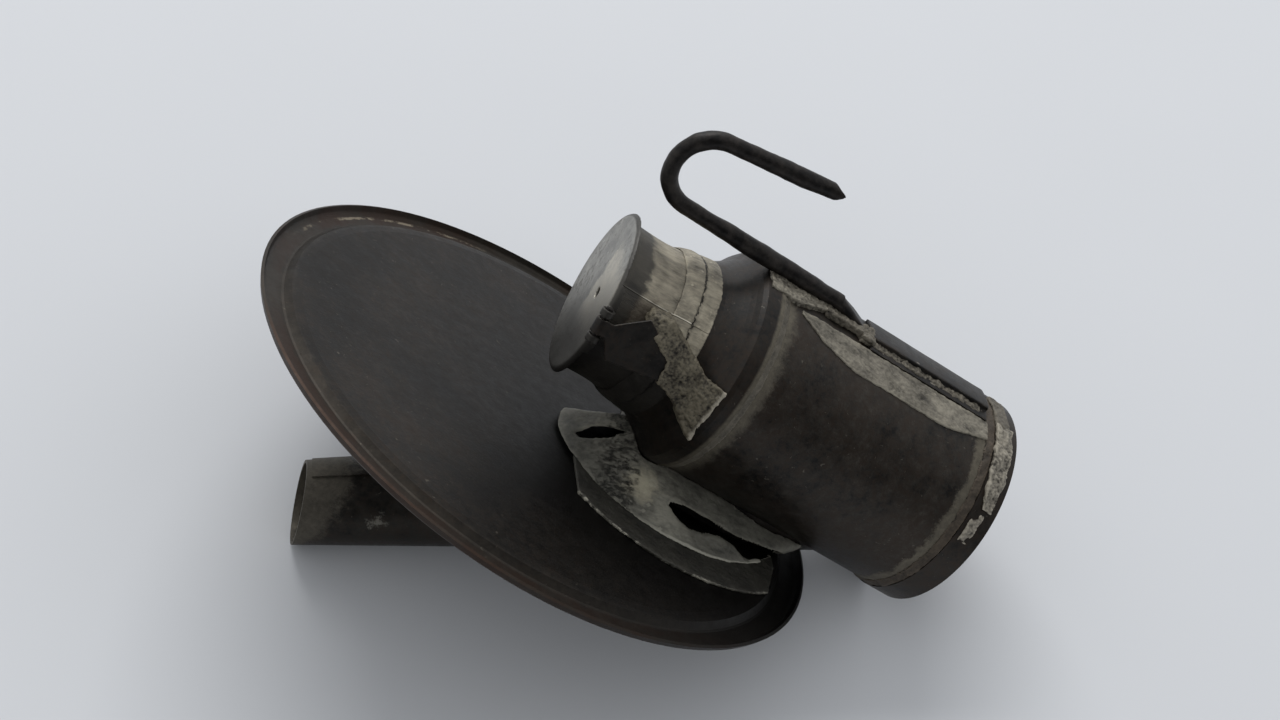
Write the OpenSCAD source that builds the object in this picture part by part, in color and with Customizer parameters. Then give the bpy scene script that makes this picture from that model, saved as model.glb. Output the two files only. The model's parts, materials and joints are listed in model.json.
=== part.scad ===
// Oil wick cap lamp in tinned sheet iron: a small round font with a hinged filler lid, a long
// tapering wick spout that runs through a round reflector, and a wire hook for a cap bracket.
// Every piece is drawn on the upright lamp, with Z up the font's axis and the spout towards +X.
// The whole lamp is then laid down on the three points that it rests on when put on a table.

/* [Sheet] */
// Thickness of the tinned sheet that the lamp is folded from
sheet_t = 0.5; // [0.4:0.05:0.7]
// Thickness of a run of solder over a seam
solder_t = 0.5; // [0.3:0.05:0.8]

/* [Font] */
// Outside diameter of the font's wall
font_d = 36; // [32:0.5:40]
// Height of the wall, from the underside of the lamp to the shoulder
font_h = 50; // [47:0.5:56]
// Height of the cup pressed over the foot of the wall
cup_h = 4.6; // [3:0.2:7]
// Depth of the shoulder's skirt over the top of the wall
skirt_h = 1.8; // [1:0.2:3]
// Height of the shoulder above the wall
shoulder_h = 10; // [8:0.5:12]
// Width of the soldered lap that closes the wall
lap_w = 5.4; // [4:0.2:6]
// Gap between that lap and the hook's sleeve
lap_gap = 0.35; // [0.2:0.05:3]

/* [Neck and lid] */
// Outside diameter of the filler neck at its foot
neck_d = 26.6; // [25.6:0.2:28]
// Outside diameter of the neck at its waist
waist_d = 24.6; // [23:0.2:25.4]
// Height of the neck's mouth above the shoulder, on the axis
neck_h = 11.6; // [9:0.2:15]
// Lean of the mouth towards the spout
mouth_lean = 5.3; // [0:0.1:6]
// Lean of the mouth away from the hinge
mouth_side_lean = 5.3; // [0:0.1:6]
// Diameter of the lid
lid_d = 27.8; // [27.2:0.2:30]
// Depth of the lid's turned down rim
lid_rim_h = 1.6; // [1:0.1:2]
// Diameter of the vent hole in the lid
vent_d = 1.8; // [1:0.1:3]
// Thickness of the pin that the lid turns on
pin_d = 1.2; // [1:0.05:1.4]
// Angle of the hinge round the neck, from the spout
hinge_at = 98; // [92:1:102]
// Running clearance round the pin
pin_gap = 0.05; // [0.02:0.01:0.08]
// Gap between the strap's curl and the lid
curl_gap = 0.35; // [0.3:0.05:0.5]
// Length of the strap's curl along the pin
curl_w = 2.6; // [2:0.2:4]
// Width of each of the lid's two ears on the pin
ear_w = 1.2; // [1:0.1:1.6]
// Greatest width of the strap that holds the pin
strap_w = 9.2; // [8:0.2:10]

/* [Spout] */
// Outside diameter of the spout at its tip
tip_d = 13.7; // [12:0.1:16]
// Widening of the spout's radius for each millimetre back from the tip
spout_flare = 0.035; // [0.02:0.005:0.045]
// Angle of the spout above the foot of the lamp
spout_rise = 55.5; // [53:0.5:58]
// Distance of the tip from the foot of the font, along the spout
spout_l = 107.4; // [95:0.5:115]
// Distance of the spout's axis from the middle of the foot, towards the hook
spout_back = 2.6; // [0:0.2:4]
// Angle that the mouth of the spout is cut off square
mouth_cut = 13; // [0:1:20]
// Width of the spout's lapped seam
spout_lap_w = 5; // [3:0.2:7]

/* [Reflector] */
// Diameter of the reflector over its rim
refl_d = 102.6; // [98:0.2:110]
// Distance of the reflector's back from the font's axis
refl_x = 22.5; // [21.5:0.1:25]
// Height of the reflector's middle above the foot
refl_z = 65.3; // [62:0.1:68]
// Lean of the reflector's top edge away from the font
refl_lean = 2.7; // [0:0.1:4]
// Width of the pressed border between the ridge and the rim
border_w = 6; // [4:0.2:8]
// Depth of the pressed border
border_depth = 1.3; // [0.8:0.1:2]
// Height of the rim turned back round the border
rim_h = 1; // [0.6:0.1:1.6]

/* [Saddle between the font and the reflector] */
// Half width of the saddle on the reflector
saddle_w = 20.5; // [19:0.1:21]
// Half height of the saddle on the reflector
saddle_h = 22; // [21:0.1:22.4]
// Height of the saddle's middle on the reflector, above the foot
saddle_z = 41.5; // [40.5:0.1:42]
// Half width of the saddle inside the font's wall
saddle_root_w = 2.2; // [1.8:0.1:3]
// Distance of that inner end from the font's axis
saddle_root_x = 13; // [12.6:0.1:13.4]
// Lowest point of the saddle inside the wall
saddle_root_low = 9; // [8:0.2:11]
// Highest point of the saddle inside the wall
saddle_root_high = 54; // [52:0.2:55]
// Radius of the flange round the saddle
flange_r = 27.2; // [26:0.1:28]
// Height above the foot at which the flange's lower ends are cut off
flange_end_z = 22.2; // [21:0.2:24]
// Height of the flange's flat top above the foot
flange_top_z = 60.6; // [59:0.2:61.4]

/* [Hook] */
// Diameter of the hook's wire
wire_d = 2.9; // [2.5:0.1:3.2]
// Gap between the font's wall and the wire
wire_gap = 0.55; // [0.55:0.05:0.9]
// Inside width of the hook's bend
hook_gap = 9.5; // [8:0.5:14]
// Height of the middle of the bend above the foot
hook_z = 68.8; // [66:0.2:76]
// Angle that the hook's free arm spreads from the font
arm_spread = 7.9; // [0:0.1:12]
// Length of the free arm
arm_l = 21.4; // [16:0.5:28]
// Length of the chiselled end of the free arm
chisel_l = 2.6; // [1:0.2:4]
// Thickness of the flattened end that is soldered to the font
tang_t = 0.8; // [0.7:0.05:1.2]
// Width of the flattened end
tang_w = 4.4; // [3.5:0.1:5]
// Lowest point of the sleeve over the flattened end
sleeve_low = 6.4; // [6.2:0.2:9]
// Distance of the sleeve's top below the top of the wall
sleeve_drop = 19; // [16:0.5:22]
// Width of the sleeve round the font
sleeve_w = 9.6; // [8.4:0.2:10]

/* [Wick] */
// Gap between the wick and the inside of the tip
wick_gap = 0.5; // [0.3:0.05:1]
// Distance of the wick's end inside the mouth
wick_in = 2.5; // [2:0.5:6]
// Height of the wick's lower end above the floor of the font
wick_clear = 1.5; // [1:0.5:6]

/* [Hidden] */

$fn = 96;
tin = "#4a4641";
dark_tin = "#3b3733";
solder = "#9b978b";
cotton = "#c9b892";
far = 200;
hair = 0.01;

font_r = font_d / 2;
cup_r = font_r + sheet_t;
neck_r = neck_d / 2;
waist_r = waist_d / 2;
shoulder_z = font_h + shoulder_h;
mouth_z = shoulder_z + neck_h;
lid_r = lid_d / 2;
tip_r = tip_d / 2;
refl_r = refl_d / 2;
ridge_r = refl_r - border_w;
wire_r = wire_d / 2;
pin_r = pin_d / 2;
wick_r = tip_r - sheet_t - wick_gap;

spout_dir = [cos(spout_rise), 0, sin(spout_rise)];
tip = spout_l * spout_dir - [spout_back, 0, 0];
spout_root_l = spout_l + 4;
spout_root_r = tip_r + spout_flare * spout_root_l;

sleeve_high = font_h - sleeve_drop;
leg_x = -(font_r + wire_gap + wire_r);
bend_r = (hook_gap + wire_d) / 2;
bend_x = leg_x - bend_r;
lap_at = 180 - (sleeve_w / 2 + lap_gap + lap_w / 2) / font_r * 180 / PI;

// The sheet's middle line as points, turned into the outline of a strip t thick.
function unit(v) = v / norm(v);
function side(a, b) = let (d = unit(b - a)) [-d[1], d[0]];
function mitre(p, i) =
    let (n = len(p), u = side(p[max(i - 1, 0)], p[max(i, 1)]), v = side(p[min(i, n - 2)], p[min(i + 1, n - 1)]))
    unit(u + v) / sqrt((1 + u * v) / 2);
function strip(p, t) = concat(
    [for (i = [0:len(p) - 1]) p[i] + mitre(p, i) * t / 2],
    [for (i = [len(p) - 1:-1:0]) p[i] - mitre(p, i) * t / 2]);
function arc(c, r, a, b, n = 8) = [for (i = [0:n]) c + r * [cos(a + (b - a) * i / n), sin(a + (b - a) * i / n)]];
function oval(a, b, n = 48) = [for (i = [0:n - 1]) [a * cos(360 * i / n), b * sin(360 * i / n)]];

// Middle line of the shoulder: the skirt, a rounded edge, then a hollow sweep up to the neck.
skirt_mid_r = font_r + sheet_t / 2;
neck_mid_r = neck_r - sheet_t / 2;
edge_r = 1.6;
sweep_low = [skirt_mid_r - edge_r * 0.45, font_h + edge_r * 1.1];
sweep_dr = sweep_low[0] - neck_mid_r;
sweep_dz = shoulder_z - sweep_low[1];
sweep_r = (sweep_dr * sweep_dr + sweep_dz * sweep_dz) / (2 * sweep_dr);
sweep_c = [neck_mid_r + sweep_r, shoulder_z];
shoulder_line = concat(
    [[skirt_mid_r, font_h - skirt_h], [skirt_mid_r, font_h + edge_r * 0.3],
        [skirt_mid_r - edge_r * 0.12, font_h + edge_r * 0.75]],
    arc(sweep_c, sweep_r, 180 + asin(sweep_dz / sweep_r), 180, 10));

// Middle line of the neck: narrow at the waist and wider again at the mouth.
neck_line = concat(
    [for (i = [0:6]) let (u = i / 6) [waist_r + (neck_r - waist_r) * pow(1 - u, 2) - sheet_t / 2,
        shoulder_z + u * neck_h * 0.55]],
    [for (i = [1:5]) let (u = i / 5) [waist_r + 0.4 * u * u - sheet_t / 2,
        shoulder_z + neck_h * (0.55 + 0.65 * u)]]);

// Section of the reflector: flat plate, rounded ridge, pressed border and turned back rim.
border_floor = border_depth + sheet_t / 2;
reflector_line = concat(
    [[0, sheet_t / 2], [ridge_r - 1.2, sheet_t / 2], [ridge_r, sheet_t / 2 + 0.12]],
    [for (u = [0.25, 0.5, 0.75, 1]) [ridge_r + 1.8 * u, sheet_t / 2 + border_depth * (1 - cos(90 * u) * cos(90 * u))]],
    [[refl_r - 1.5, border_floor]],
    arc([refl_r - 1.5, border_floor - 1], 1, 70, 20, 3),
    [[refl_r - sheet_t / 2, border_floor - rim_h - 0.3]]);

// Height of the lowest point of a circle over the plane with normal up through the foot.
function low_point(c, axis, r, up) = c * up - r * sqrt(1 - pow(axis * up, 2));
function table_up(tilt, roll) = [-sin(tilt) * cos(roll), sin(tilt) * sin(roll), cos(tilt)];
refl_axis = [cos(refl_lean), 0, -sin(refl_lean)];
refl_front = [refl_x, 0, refl_z] + refl_axis * (border_depth + sheet_t);
cut_axis = [cos(spout_rise + mouth_cut), 0, sin(spout_rise + mouth_cut)];
function foot_low(tilt, roll) = low_point([0, 0, 0], [0, 0, 1], cup_r, table_up(tilt, roll));
function tip_low(tilt, roll) = low_point(tip, cut_axis, tip_r / cos(mouth_cut), table_up(tilt, roll));
function refl_low(tilt, roll) = low_point(refl_front, refl_axis, refl_r - 1.23, table_up(tilt, roll));
// The tilt at which the foot and the spout's tip touch the table together, for one roll.
function rest_tilt(roll, low = 50, high = 75, n = 24) = let (mid = (low + high) / 2)
    n == 0 ? mid : tip_low(mid, roll) > foot_low(mid, roll)
        ? rest_tilt(roll, mid, high, n - 1) : rest_tilt(roll, low, mid, n - 1);
// The roll at which the reflector's edge touches it too.
function rest_roll(low = 0, high = 40, n = 20) = let (mid = (low + high) / 2, tilt = rest_tilt(mid))
    n == 0 ? mid : refl_low(tilt, mid) > foot_low(tilt, mid)
        ? rest_roll(mid, high, n - 1) : rest_roll(low, mid, n - 1);
lie_roll = rest_roll();
lie_tilt = rest_tilt(lie_roll);

// A point of the upright lamp as it lies, before it is centred.
lie_turn = lie_roll - 180;
function lay_point(p) =
    let (x = p[0] * cos(lie_turn) - p[1] * sin(lie_turn), y = p[0] * sin(lie_turn) + p[1] * cos(lie_turn))
    [x * cos(lie_tilt) - p[2] * sin(lie_tilt), y, p[2] * cos(lie_tilt) + x * sin(lie_tilt)];
function reach(c, axis, r, i) = r * sqrt(1 - pow(lay_point(axis)[i], 2)) * [-1, 1] + lay_point(c)[i] * [1, 1];
foot_x = reach([0, 0, 0], [0, 0, 1], cup_r, 0)[1];
rim_c = [refl_x, 0, refl_z] + refl_axis * (border_depth - rim_h + 0.2);
rim_x = reach(rim_c, refl_axis, refl_r, 0)[0];
rim_y = reach(rim_c, refl_axis, refl_r, 1);
lie_shift = [-(foot_x + rim_x) / 2, -(rim_y[0] + rim_y[1]) / 2, -foot_low(lie_tilt, lie_roll)];
echo(lie_tilt = lie_tilt, lie_roll = lie_roll, lie_shift = lie_shift);

module lying() {
    translate(lie_shift) rotate([0, -lie_tilt, 0]) rotate([0, 0, lie_turn]) children();
}

// The plane of the neck's mouth, with Z out of the neck.
module at_mouth() {
    translate([0, 0, mouth_z]) rotate([mouth_side_lean, mouth_lean, 0]) children();
}

// The hinge's place on the mouth: X outwards, Y along the pin.
hinge_r = lid_r + 0.9;
pin_z = 0.3;
module at_hinge() {
    at_mouth() rotate([0, 0, hinge_at]) translate([hinge_r, 0, pin_z]) children();
}

// The spout's tip, with Z out along the spout and X towards the front.
module at_tip() {
    translate(tip) rotate([0, 90 - spout_rise, 0]) children();
}

// The middle of the reflector's back, with Z out of its front.
module at_reflector() {
    translate([refl_x, 0, refl_z]) rotate([0, 90 + refl_lean, 0]) children();
}

// Filled shapes that the pieces are cut to, so that they seat on each other.
module font_envelope() {
    cylinder(r = font_r, h = font_h);
    rotate_extrude() polygon(concat([[0, font_h - skirt_h]],
        [for (p = strip(shoulder_line, sheet_t)) if (p[0] > 0) p]));
    rotate_extrude() polygon(concat([[0, font_h - skirt_h]],
        [for (i = [0:len(shoulder_line) - 1]) shoulder_line[i] - mitre(shoulder_line, i) * sheet_t / 2],
        [[0, shoulder_z]]));
}

module neck_envelope() {
    rotate_extrude() polygon(concat([[0, shoulder_z], neck_line[0]],
        [for (i = [0:len(neck_line) - 1]) neck_line[i] - mitre(neck_line, i) * sheet_t / 2],
        [[0, neck_line[len(neck_line) - 1][1]]]));
}

module spout_cone(inset = 0, front = 10) {
    at_tip() translate([0, 0, -spout_root_l])
        cylinder(r1 = spout_root_r - inset, r2 = tip_r - spout_flare * front - inset, h = spout_root_l + front);
}

// A round ended slot, a wide and from low to high.
module slot(a, low, high) {
    for (z = [low + a, high - a]) translate([0, z]) circle(r = a, $fn = 32);
    translate([-a, low + a]) square([2 * a, high - low - 2 * a]);
}

// The saddle's side leans out and its top leans up, so that its wall is cut thicker than the sheet
// where it meets the reflector. Its far side is pressed flat, down from the folded top.
side_cut = 2.2;
top_cut = 1.5;
fold_point = [13.57, 4.75, 56.5];
fold_turn = 214.5;
fold_rise = 20.9;

module saddle_solid(inset, over) {
    slice = 0.1;
    difference() {
        hull() {
            at_reflector() translate([0, 0, -sheet_t - slice]) linear_extrude(slice + over)
                translate([(refl_z - saddle_z) / cos(refl_lean), 0])
                polygon(oval(saddle_h - top_cut * inset, saddle_w - side_cut * inset));
            translate([saddle_root_x, 0, 0]) rotate([90, 0, 90]) linear_extrude(slice)
                slot(saddle_root_w - inset, saddle_root_low + top_cut * inset, saddle_root_high - top_cut * inset);
        }
        translate(fold_point) rotate([0, 90 - fold_rise, fold_turn]) translate([-far / 2, -far / 2, -inset]) cube(far);
    }
}

module font_wall() {
    color(tin) difference() {
        translate([0, 0, sheet_t]) cylinder(r = font_r, h = font_h - sheet_t);
        translate([0, 0, -1]) cylinder(r = font_r - sheet_t, h = font_h + 2);
        spout_cone(sheet_t);
    }
}

module font_bottom() {
    color(dark_tin) difference() {
        cylinder(r = cup_r, h = cup_h);
        translate([0, 0, sheet_t]) cylinder(r = font_r, h = cup_h);
    }
}

module bottom_solder() {
    color(solder) rotate_extrude() polygon([[font_r, cup_h], [cup_r - 0.05, cup_h],
        [font_r + solder_t * 0.7, cup_h + 0.5], [font_r + 0.12, cup_h + 1.5], [font_r, cup_h + 1.7]]);
}

module shoulder() {
    color(tin) rotate_extrude() polygon(strip(shoulder_line, sheet_t));
}

module shoulder_solder() {
    z = font_h - skirt_h;
    color(solder) difference() {
        rotate_extrude() polygon([[font_r, z], [font_r, z - 1.4],
            [font_r + 0.15, z - 1.2], [font_r + solder_t * 0.6, z - 0.5], [cup_r - 0.05, z]]);
        saddle_solid(-0.05, 0);
    }
}

module side_seam_solder() {
    half = lap_w / font_r * 90 / PI;
    color(solder) rotate([0, 0, lap_at - half]) rotate_extrude(angle = 2 * half)
        polygon([[font_r, cup_h + 1.8], [font_r + 0.35, cup_h + 2.2],
            [font_r + 0.35, font_h - skirt_h - 8], [font_r, font_h - skirt_h - 5]]);
}

module neck_collar() {
    color(tin) difference() {
        rotate_extrude() polygon(strip(neck_line, sheet_t));
        at_mouth() translate([-far / 2, -far / 2, 0]) cube(far);
        translate([-far / 2, -far / 2, shoulder_z - far]) cube(far);
    }
}

// A thin skin of solder over the joint of the shoulder and the neck, with the crack that runs round it.
module neck_skin() {
    joint_r = neck_r + solder_t * 0.75;
    rotate_extrude() polygon([[neck_r - 2, shoulder_z - 3.2], [neck_r + 0.68, shoulder_z - 3.2],
        [joint_r + 0.18, shoulder_z - 1.8], [joint_r, shoulder_z - 0.5], [joint_r - 0.22, shoulder_z - 0.3],
        [joint_r - 0.05, shoulder_z - 0.1], [joint_r - 0.12, shoulder_z + 1], [neck_r - 0.1, shoulder_z + 2.4],
        [neck_r - 0.6, shoulder_z + 3.4], [neck_r - 2, shoulder_z + 3.4]]);
}

module collar_solder() {
    color(solder) difference() {
        neck_skin();
        font_envelope();
        neck_envelope();
    }
}

module lid() {
    notch = curl_w + 2 * curl_gap;
    knuckle_r = pin_r + sheet_t;
    color(dark_tin) difference() {
        union() {
            at_mouth() rotate_extrude() polygon(concat(
                [[0, 0], [0, sheet_t]],
                arc([lid_r - 1, sheet_t - 1], 1, 90, 0, 5),
                [[lid_r, -lid_rim_h + sheet_t], [lid_r - sheet_t, -lid_rim_h + sheet_t]],
                arc([lid_r - 1, sheet_t - 1], 1 - sheet_t, 0, 90, 4)));
            for (s = [-1, 1]) at_hinge() translate([0, s * (notch + ear_w) / 2, 0]) {
                rotate([90, 0, 0]) cylinder(r = knuckle_r, h = ear_w, center = true, $fn = 48);
                translate([-hinge_r + lid_r - 2.2, -ear_w / 2, -pin_z]) cube([hinge_r - lid_r + 2.2, ear_w, sheet_t]);
            }
        }
        at_hinge() translate([-knuckle_r - curl_gap - 0.3, -notch / 2, -5]) cube([5, notch, 10]);
        at_hinge() rotate([90, 0, 0]) cylinder(r = pin_r + pin_gap, h = 12, center = true, $fn = 48);
        at_mouth() translate([-1.6, 3.3, -1]) cylinder(d = vent_d, h = 4, $fn = 32);
    }
}

module hinge_pin() {
    l = curl_w + 2 * curl_gap + 2 * ear_w + 0.6;
    color(dark_tin) at_hinge() rotate([90, 0, 0]) cylinder(r = pin_r, h = l, center = true, $fn = 48);
}

// Turns a shape that is drawn across the hinge, with X outwards, to the hinge's place.
module at_strap() {
    rotate([0, 0, hinge_at]) children();
}

// The pin's middle, as its distance from the font's axis and its height.
hinge_lift = (cos(hinge_at) * sin(mouth_lean) * cos(mouth_side_lean) - sin(hinge_at) * sin(mouth_side_lean))
    / (cos(mouth_lean) * cos(mouth_side_lean));
pin_at_z = mouth_z + pin_z - hinge_r * hinge_lift;

// The strap: a curl round the pin over a plate that stands clear of the neck down to the shoulder.
module strap_plate() {
    plate_x = hinge_r + pin_r;
    top = pin_at_z - pin_r - sheet_t - curl_gap;
    at_strap() translate([plate_x, 0, 0]) rotate([90, 0, 90]) linear_extrude(sheet_t) polygon([
        [curl_w / 2, pin_at_z], [curl_w / 2, top], [strap_w * 0.54, top - 4.4], [strap_w * 0.07, shoulder_z],
        [0, font_h + 2], [-strap_w * 0.33, font_h + 2], [-strap_w * 0.3, shoulder_z],
        [-strap_w * 0.46, top - 2], [-curl_w / 2, top], [-curl_w / 2, pin_at_z]]);
}

module hinge_strap() {
    color(tin) difference() {
        union() {
            strap_plate();
            at_hinge() rotate([90, 0, 0]) cylinder(r = pin_r + sheet_t, h = curl_w, center = true, $fn = 48);
        }
        at_hinge() rotate([90, 0, 0]) cylinder(r = pin_r, h = curl_w + 2, center = true, $fn = 48);
        font_envelope();
    }
}

// The outside of the shoulder, the solder's skin and the neck in one, as a bed for the tongue of solder.
module tongue_bed() {
    skin_low = shoulder_z - 3.2;
    skin_high = shoulder_z + 3.4;
    outside = concat(
        [for (i = [0:len(shoulder_line) - 1]) shoulder_line[i] - mitre(shoulder_line, i) * sheet_t / 2],
        [[neck_r + 0.68, skin_low], [neck_r + 0.56, shoulder_z - 1.8], [neck_r + 0.38, shoulder_z],
            [neck_r + 0.3, shoulder_z + 1.05], [neck_r - 0.1, shoulder_z + 2.4]],
        [for (i = [0:len(neck_line) - 1]) neck_line[i] - mitre(neck_line, i) * sheet_t / 2]);
    rotate_extrude() polygon(concat([[0, font_h - 2 * skirt_h]],
        [for (i = [0:len(outside) - 1]) let (p = outside[i])
            if (i < len(shoulder_line) ? p[1] < skin_low - 0.2
                : i < len(shoulder_line) + 5 || p[1] > skin_high) p + [0.02, 0]],
        [[0, outside[len(outside) - 1][1]]]));
}

// The tongue of solder that runs from the strap's edge down over the shoulder.
module strap_solder() {
    low = font_h - skirt_h;
    color(solder) difference() {
        intersection() {
            at_strap() rotate([90, 0, 90]) linear_extrude(font_r + 3) polygon([
                [5.7, shoulder_z + 7], [6.3, shoulder_z + 4], [3.7, shoulder_z - 1], [1.7, font_h + 5], [1.8, font_h + 1.5],
                [0.9, low + 0.5], [-3, low], [-7, low + 0.6], [-8.4, low + 2.4], [-7, font_h + 3.5], [-4.6, font_h + 6.4],
                [-3.4, shoulder_z - 0.5], [-3.2, shoulder_z + 1], [0.6, shoulder_z + 1.6],
                [2.2, shoulder_z + 4.7], [3.8, shoulder_z + 7.4]]);
            rotate_extrude() polygon([[neck_r - 1.2, low - 1], [cup_r + 0.7, low - 1], [cup_r + 0.9, font_h + 0.4],
                [font_r + 0.2, font_h + 2.6], [hinge_r + 1.7, font_h + 6], [hinge_r + 1.5, shoulder_z],
                [hinge_r + 1.7, shoulder_z + 5], [hinge_r + 0.6, shoulder_z + 8], [neck_r - 1.2, shoulder_z + 8]]);
        }
        strap_plate();
        tongue_bed();
    }
}

module spout_tube() {
    color(tin) difference() {
        spout_cone(0);
        spout_cone(sheet_t, 12);
        translate([0, 0, -far]) cylinder(r = font_r, h = far + font_h);
        at_tip() rotate([0, -mouth_cut, 0]) translate([-far / 2, -far / 2, 0]) cube(far);
    }
}

// The outer edge of the lapped seam, along the back of the spout in front of the reflector.
module spout_seam() {
    half = spout_lap_w / tip_r * 90 / PI;
    back = [-sin(spout_rise), 0, cos(spout_rise)];
    from_plate = (tip - [refl_x, 0, refl_z]) * refl_axis;
    front_l = (from_plate + (tip_r + sheet_t) * (back * refl_axis) - sheet_t - 0.25)
        / (spout_dir * refl_axis - spout_flare * (back * refl_axis));
    color(tin) at_tip() intersection() {
        translate([0, 0, -front_l]) difference() {
            cylinder(r1 = tip_r + spout_flare * front_l + sheet_t * 0.7, r2 = tip_r + sheet_t * 0.7, h = front_l);
            translate([0, 0, -hair]) cylinder(r1 = tip_r + spout_flare * (front_l + hair), r2 = tip_r - spout_flare * hair,
                h = front_l + 2 * hair);
        }
        rotate([0, 0, 180 - half]) translate([0, 0, -front_l]) rotate_extrude(angle = 2 * half)
            square([tip_r * 2, front_l - tip_r * tan(mouth_cut) - 0.8]);
    }
}

module saddle() {
    color(tin) difference() {
        saddle_solid(0, 0);
        saddle_solid(sheet_t, 0.4);
        font_envelope();
        neck_skin();
        spout_cone(-0.05);
        // The open seam in the side of the saddle
        translate([0, 26, 0]) rotate([90, 0, 0]) linear_extrude(18) polygon([
            [18.4, 45.6], [17.9, 42.3], [17.9, 39.6], [18, 31.2], [17.7, 26.8], [17.7, 23.2],
            [18.4, 20.9], [19.9, 21.6], [20, 24.5], [19.8, 28.2], [18.9, 31.8], [18.8, 34.8],
            [19.2, 38.1], [19.4, 40.7], [19.1, 43.4]]);
        // The slit under the folded top
        translate([0, 0, 48]) linear_extrude(20) polygon([
            [15.4, 5.3], [17, 4.3], [18.5, 3.9], [20.5, 4.7], [20.2, 6], [19.2, 6.4], [17.5, 6.4]]);
    }
}

// One half of the flange, on the side that s gives, with its lower end cut off at a slant.
module flange_half(s) {
    mid = (refl_z - saddle_z) / cos(refl_lean);
    low = saddle_z - flange_end_z;
    color(tin) difference() {
        at_reflector() translate([mid, 0, -sheet_t]) linear_extrude(sheet_t) intersection() {
            circle(r = flange_r);
            polygon([[saddle_z - flange_top_z, s * 4], [saddle_z - flange_top_z, s * far],
                [low - far * 0.28, s * far], [low, s * 13], [low, s * 4]]);
        }
        saddle_solid(sheet_t, 1);
        spout_cone(-0.05);
    }
}

module saddle_flange() {
    flange_half(1);
}

module far_flange() {
    flange_half(-1);
}

module reflector() {
    color(dark_tin) difference() {
        at_reflector() rotate_extrude($fn = 128) polygon(strip(reflector_line, sheet_t));
        spout_cone(0);
    }
}

// The wire runs up the font, round the bend and back down its free arm to a chiselled end.
module hook_wire() {
    leg_low = sleeve_high + 7;
    arm_top = [bend_x - bend_r * cos(arm_spread), 0, hook_z + bend_r * sin(arm_spread)];
    color(dark_tin) {
        translate([leg_x, 0, leg_low]) cylinder(r = wire_r, h = hook_z - leg_low + 0.3, $fn = 48);
        // The bend is a hair thinner, so that its ends run into the straight lengths
        translate([bend_x, 0, hook_z]) rotate([90, 0, 0]) rotate_extrude(angle = 180 - arm_spread)
            translate([bend_r, 0]) circle(r = wire_r - 0.02, $fn = 48);
        translate(arm_top) rotate([0, 180 + arm_spread, 0]) difference() {
            translate([0, 0, -0.3]) cylinder(r = wire_r, h = arm_l + 0.3, $fn = 48);
            translate([-wire_r, 0, arm_l - chisel_l]) rotate([0, -atan(chisel_l / (wire_d + 0.4)), 0])
                translate([-far / 2, -far / 2, 0]) cube(far);
        }
        hull() {
            translate([leg_x, 0, leg_low + 0.4]) cylinder(r = wire_r - 0.05, h = hair, $fn = 32);
            translate([-font_r - tang_t + 0.15, -tang_w / 2 + 0.15, sleeve_high + 0.4])
                cube([tang_t - 0.2, tang_w - 0.3, hair]);
        }
        rotate([0, 0, 180]) translate([0, 0, sleeve_low + 1]) linear_extrude(sleeve_high - sleeve_low)
            band(font_r, font_r + tang_t, tang_w);
    }
}

// A band round the font, from one radius to another and w wide, with its middle on X.
module band(inner, outer, w) {
    half = w / inner * 90 / PI;
    intersection() {
        difference() {
            circle(r = outer);
            circle(r = inner);
        }
        polygon([[0, 0], 60 * [cos(half), -sin(half)], [60, 0], 60 * [cos(half), sin(half)]]);
    }
}

// The sleeve is soldered to the wall on both sides of the flattened end that it covers.
module hook_sleeve() {
    color(tin) rotate([0, 0, 180]) translate([0, 0, sleeve_low]) linear_extrude(sleeve_high - sleeve_low)
        difference() {
            union() {
                band(font_r, font_r + sheet_t, sleeve_w);
                band(font_r, font_r + tang_t + sheet_t, tang_w + 2 * sheet_t);
            }
            band(font_r - 1, font_r + tang_t, tang_w);
        }
}

module hook_solder() {
    z_low = sleeve_high + 6;
    z_high = font_h - skirt_h - 1.5;
    color(solder) rotate([0, 0, 172]) rotate_extrude(angle = 16)
        polygon([[font_r, z_low], [font_r + 0.2, z_low + 0.5], [font_r + wire_gap - hair, z_low + 6],
            [font_r + wire_gap - hair, z_high], [font_r, z_high]]);
}

module wick() {
    wick_l = spout_l - wick_in - (wick_clear + sheet_t + wick_r * cos(spout_rise)) / sin(spout_rise);
    color(cotton) at_tip() translate([0, 0, -wick_in - wick_l]) cylinder(r = wick_r, h = wick_l, $fn = 64);
}

lying() font_wall();
lying() font_bottom();
lying() bottom_solder();
lying() shoulder();
lying() shoulder_solder();
lying() side_seam_solder();
lying() neck_collar();
lying() collar_solder();
lying() lid();
lying() hinge_pin();
lying() hinge_strap();
lying() strap_solder();
lying() spout_tube();
lying() spout_seam();
lying() saddle();
lying() saddle_flange();
lying() far_flange();
lying() reflector();
lying() hook_wire();
lying() hook_sleeve();
lying() hook_solder();
lying() wick();
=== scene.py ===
"""Looks of an oil wick cap lamp in sooty tinned sheet iron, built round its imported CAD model.

The lamp lies on a pale table. Its sheet metal keeps the CAD solids and gets worn tin; the solder,
the crumpled saddle and the cotton wick are modelled here. Every piece is shaped on the upright
lamp, with Z up the font and X towards the spout, and is then laid down as the CAD model lies.
"""

import json
import math

import bpy
from mathutils import Matrix, Vector


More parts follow.
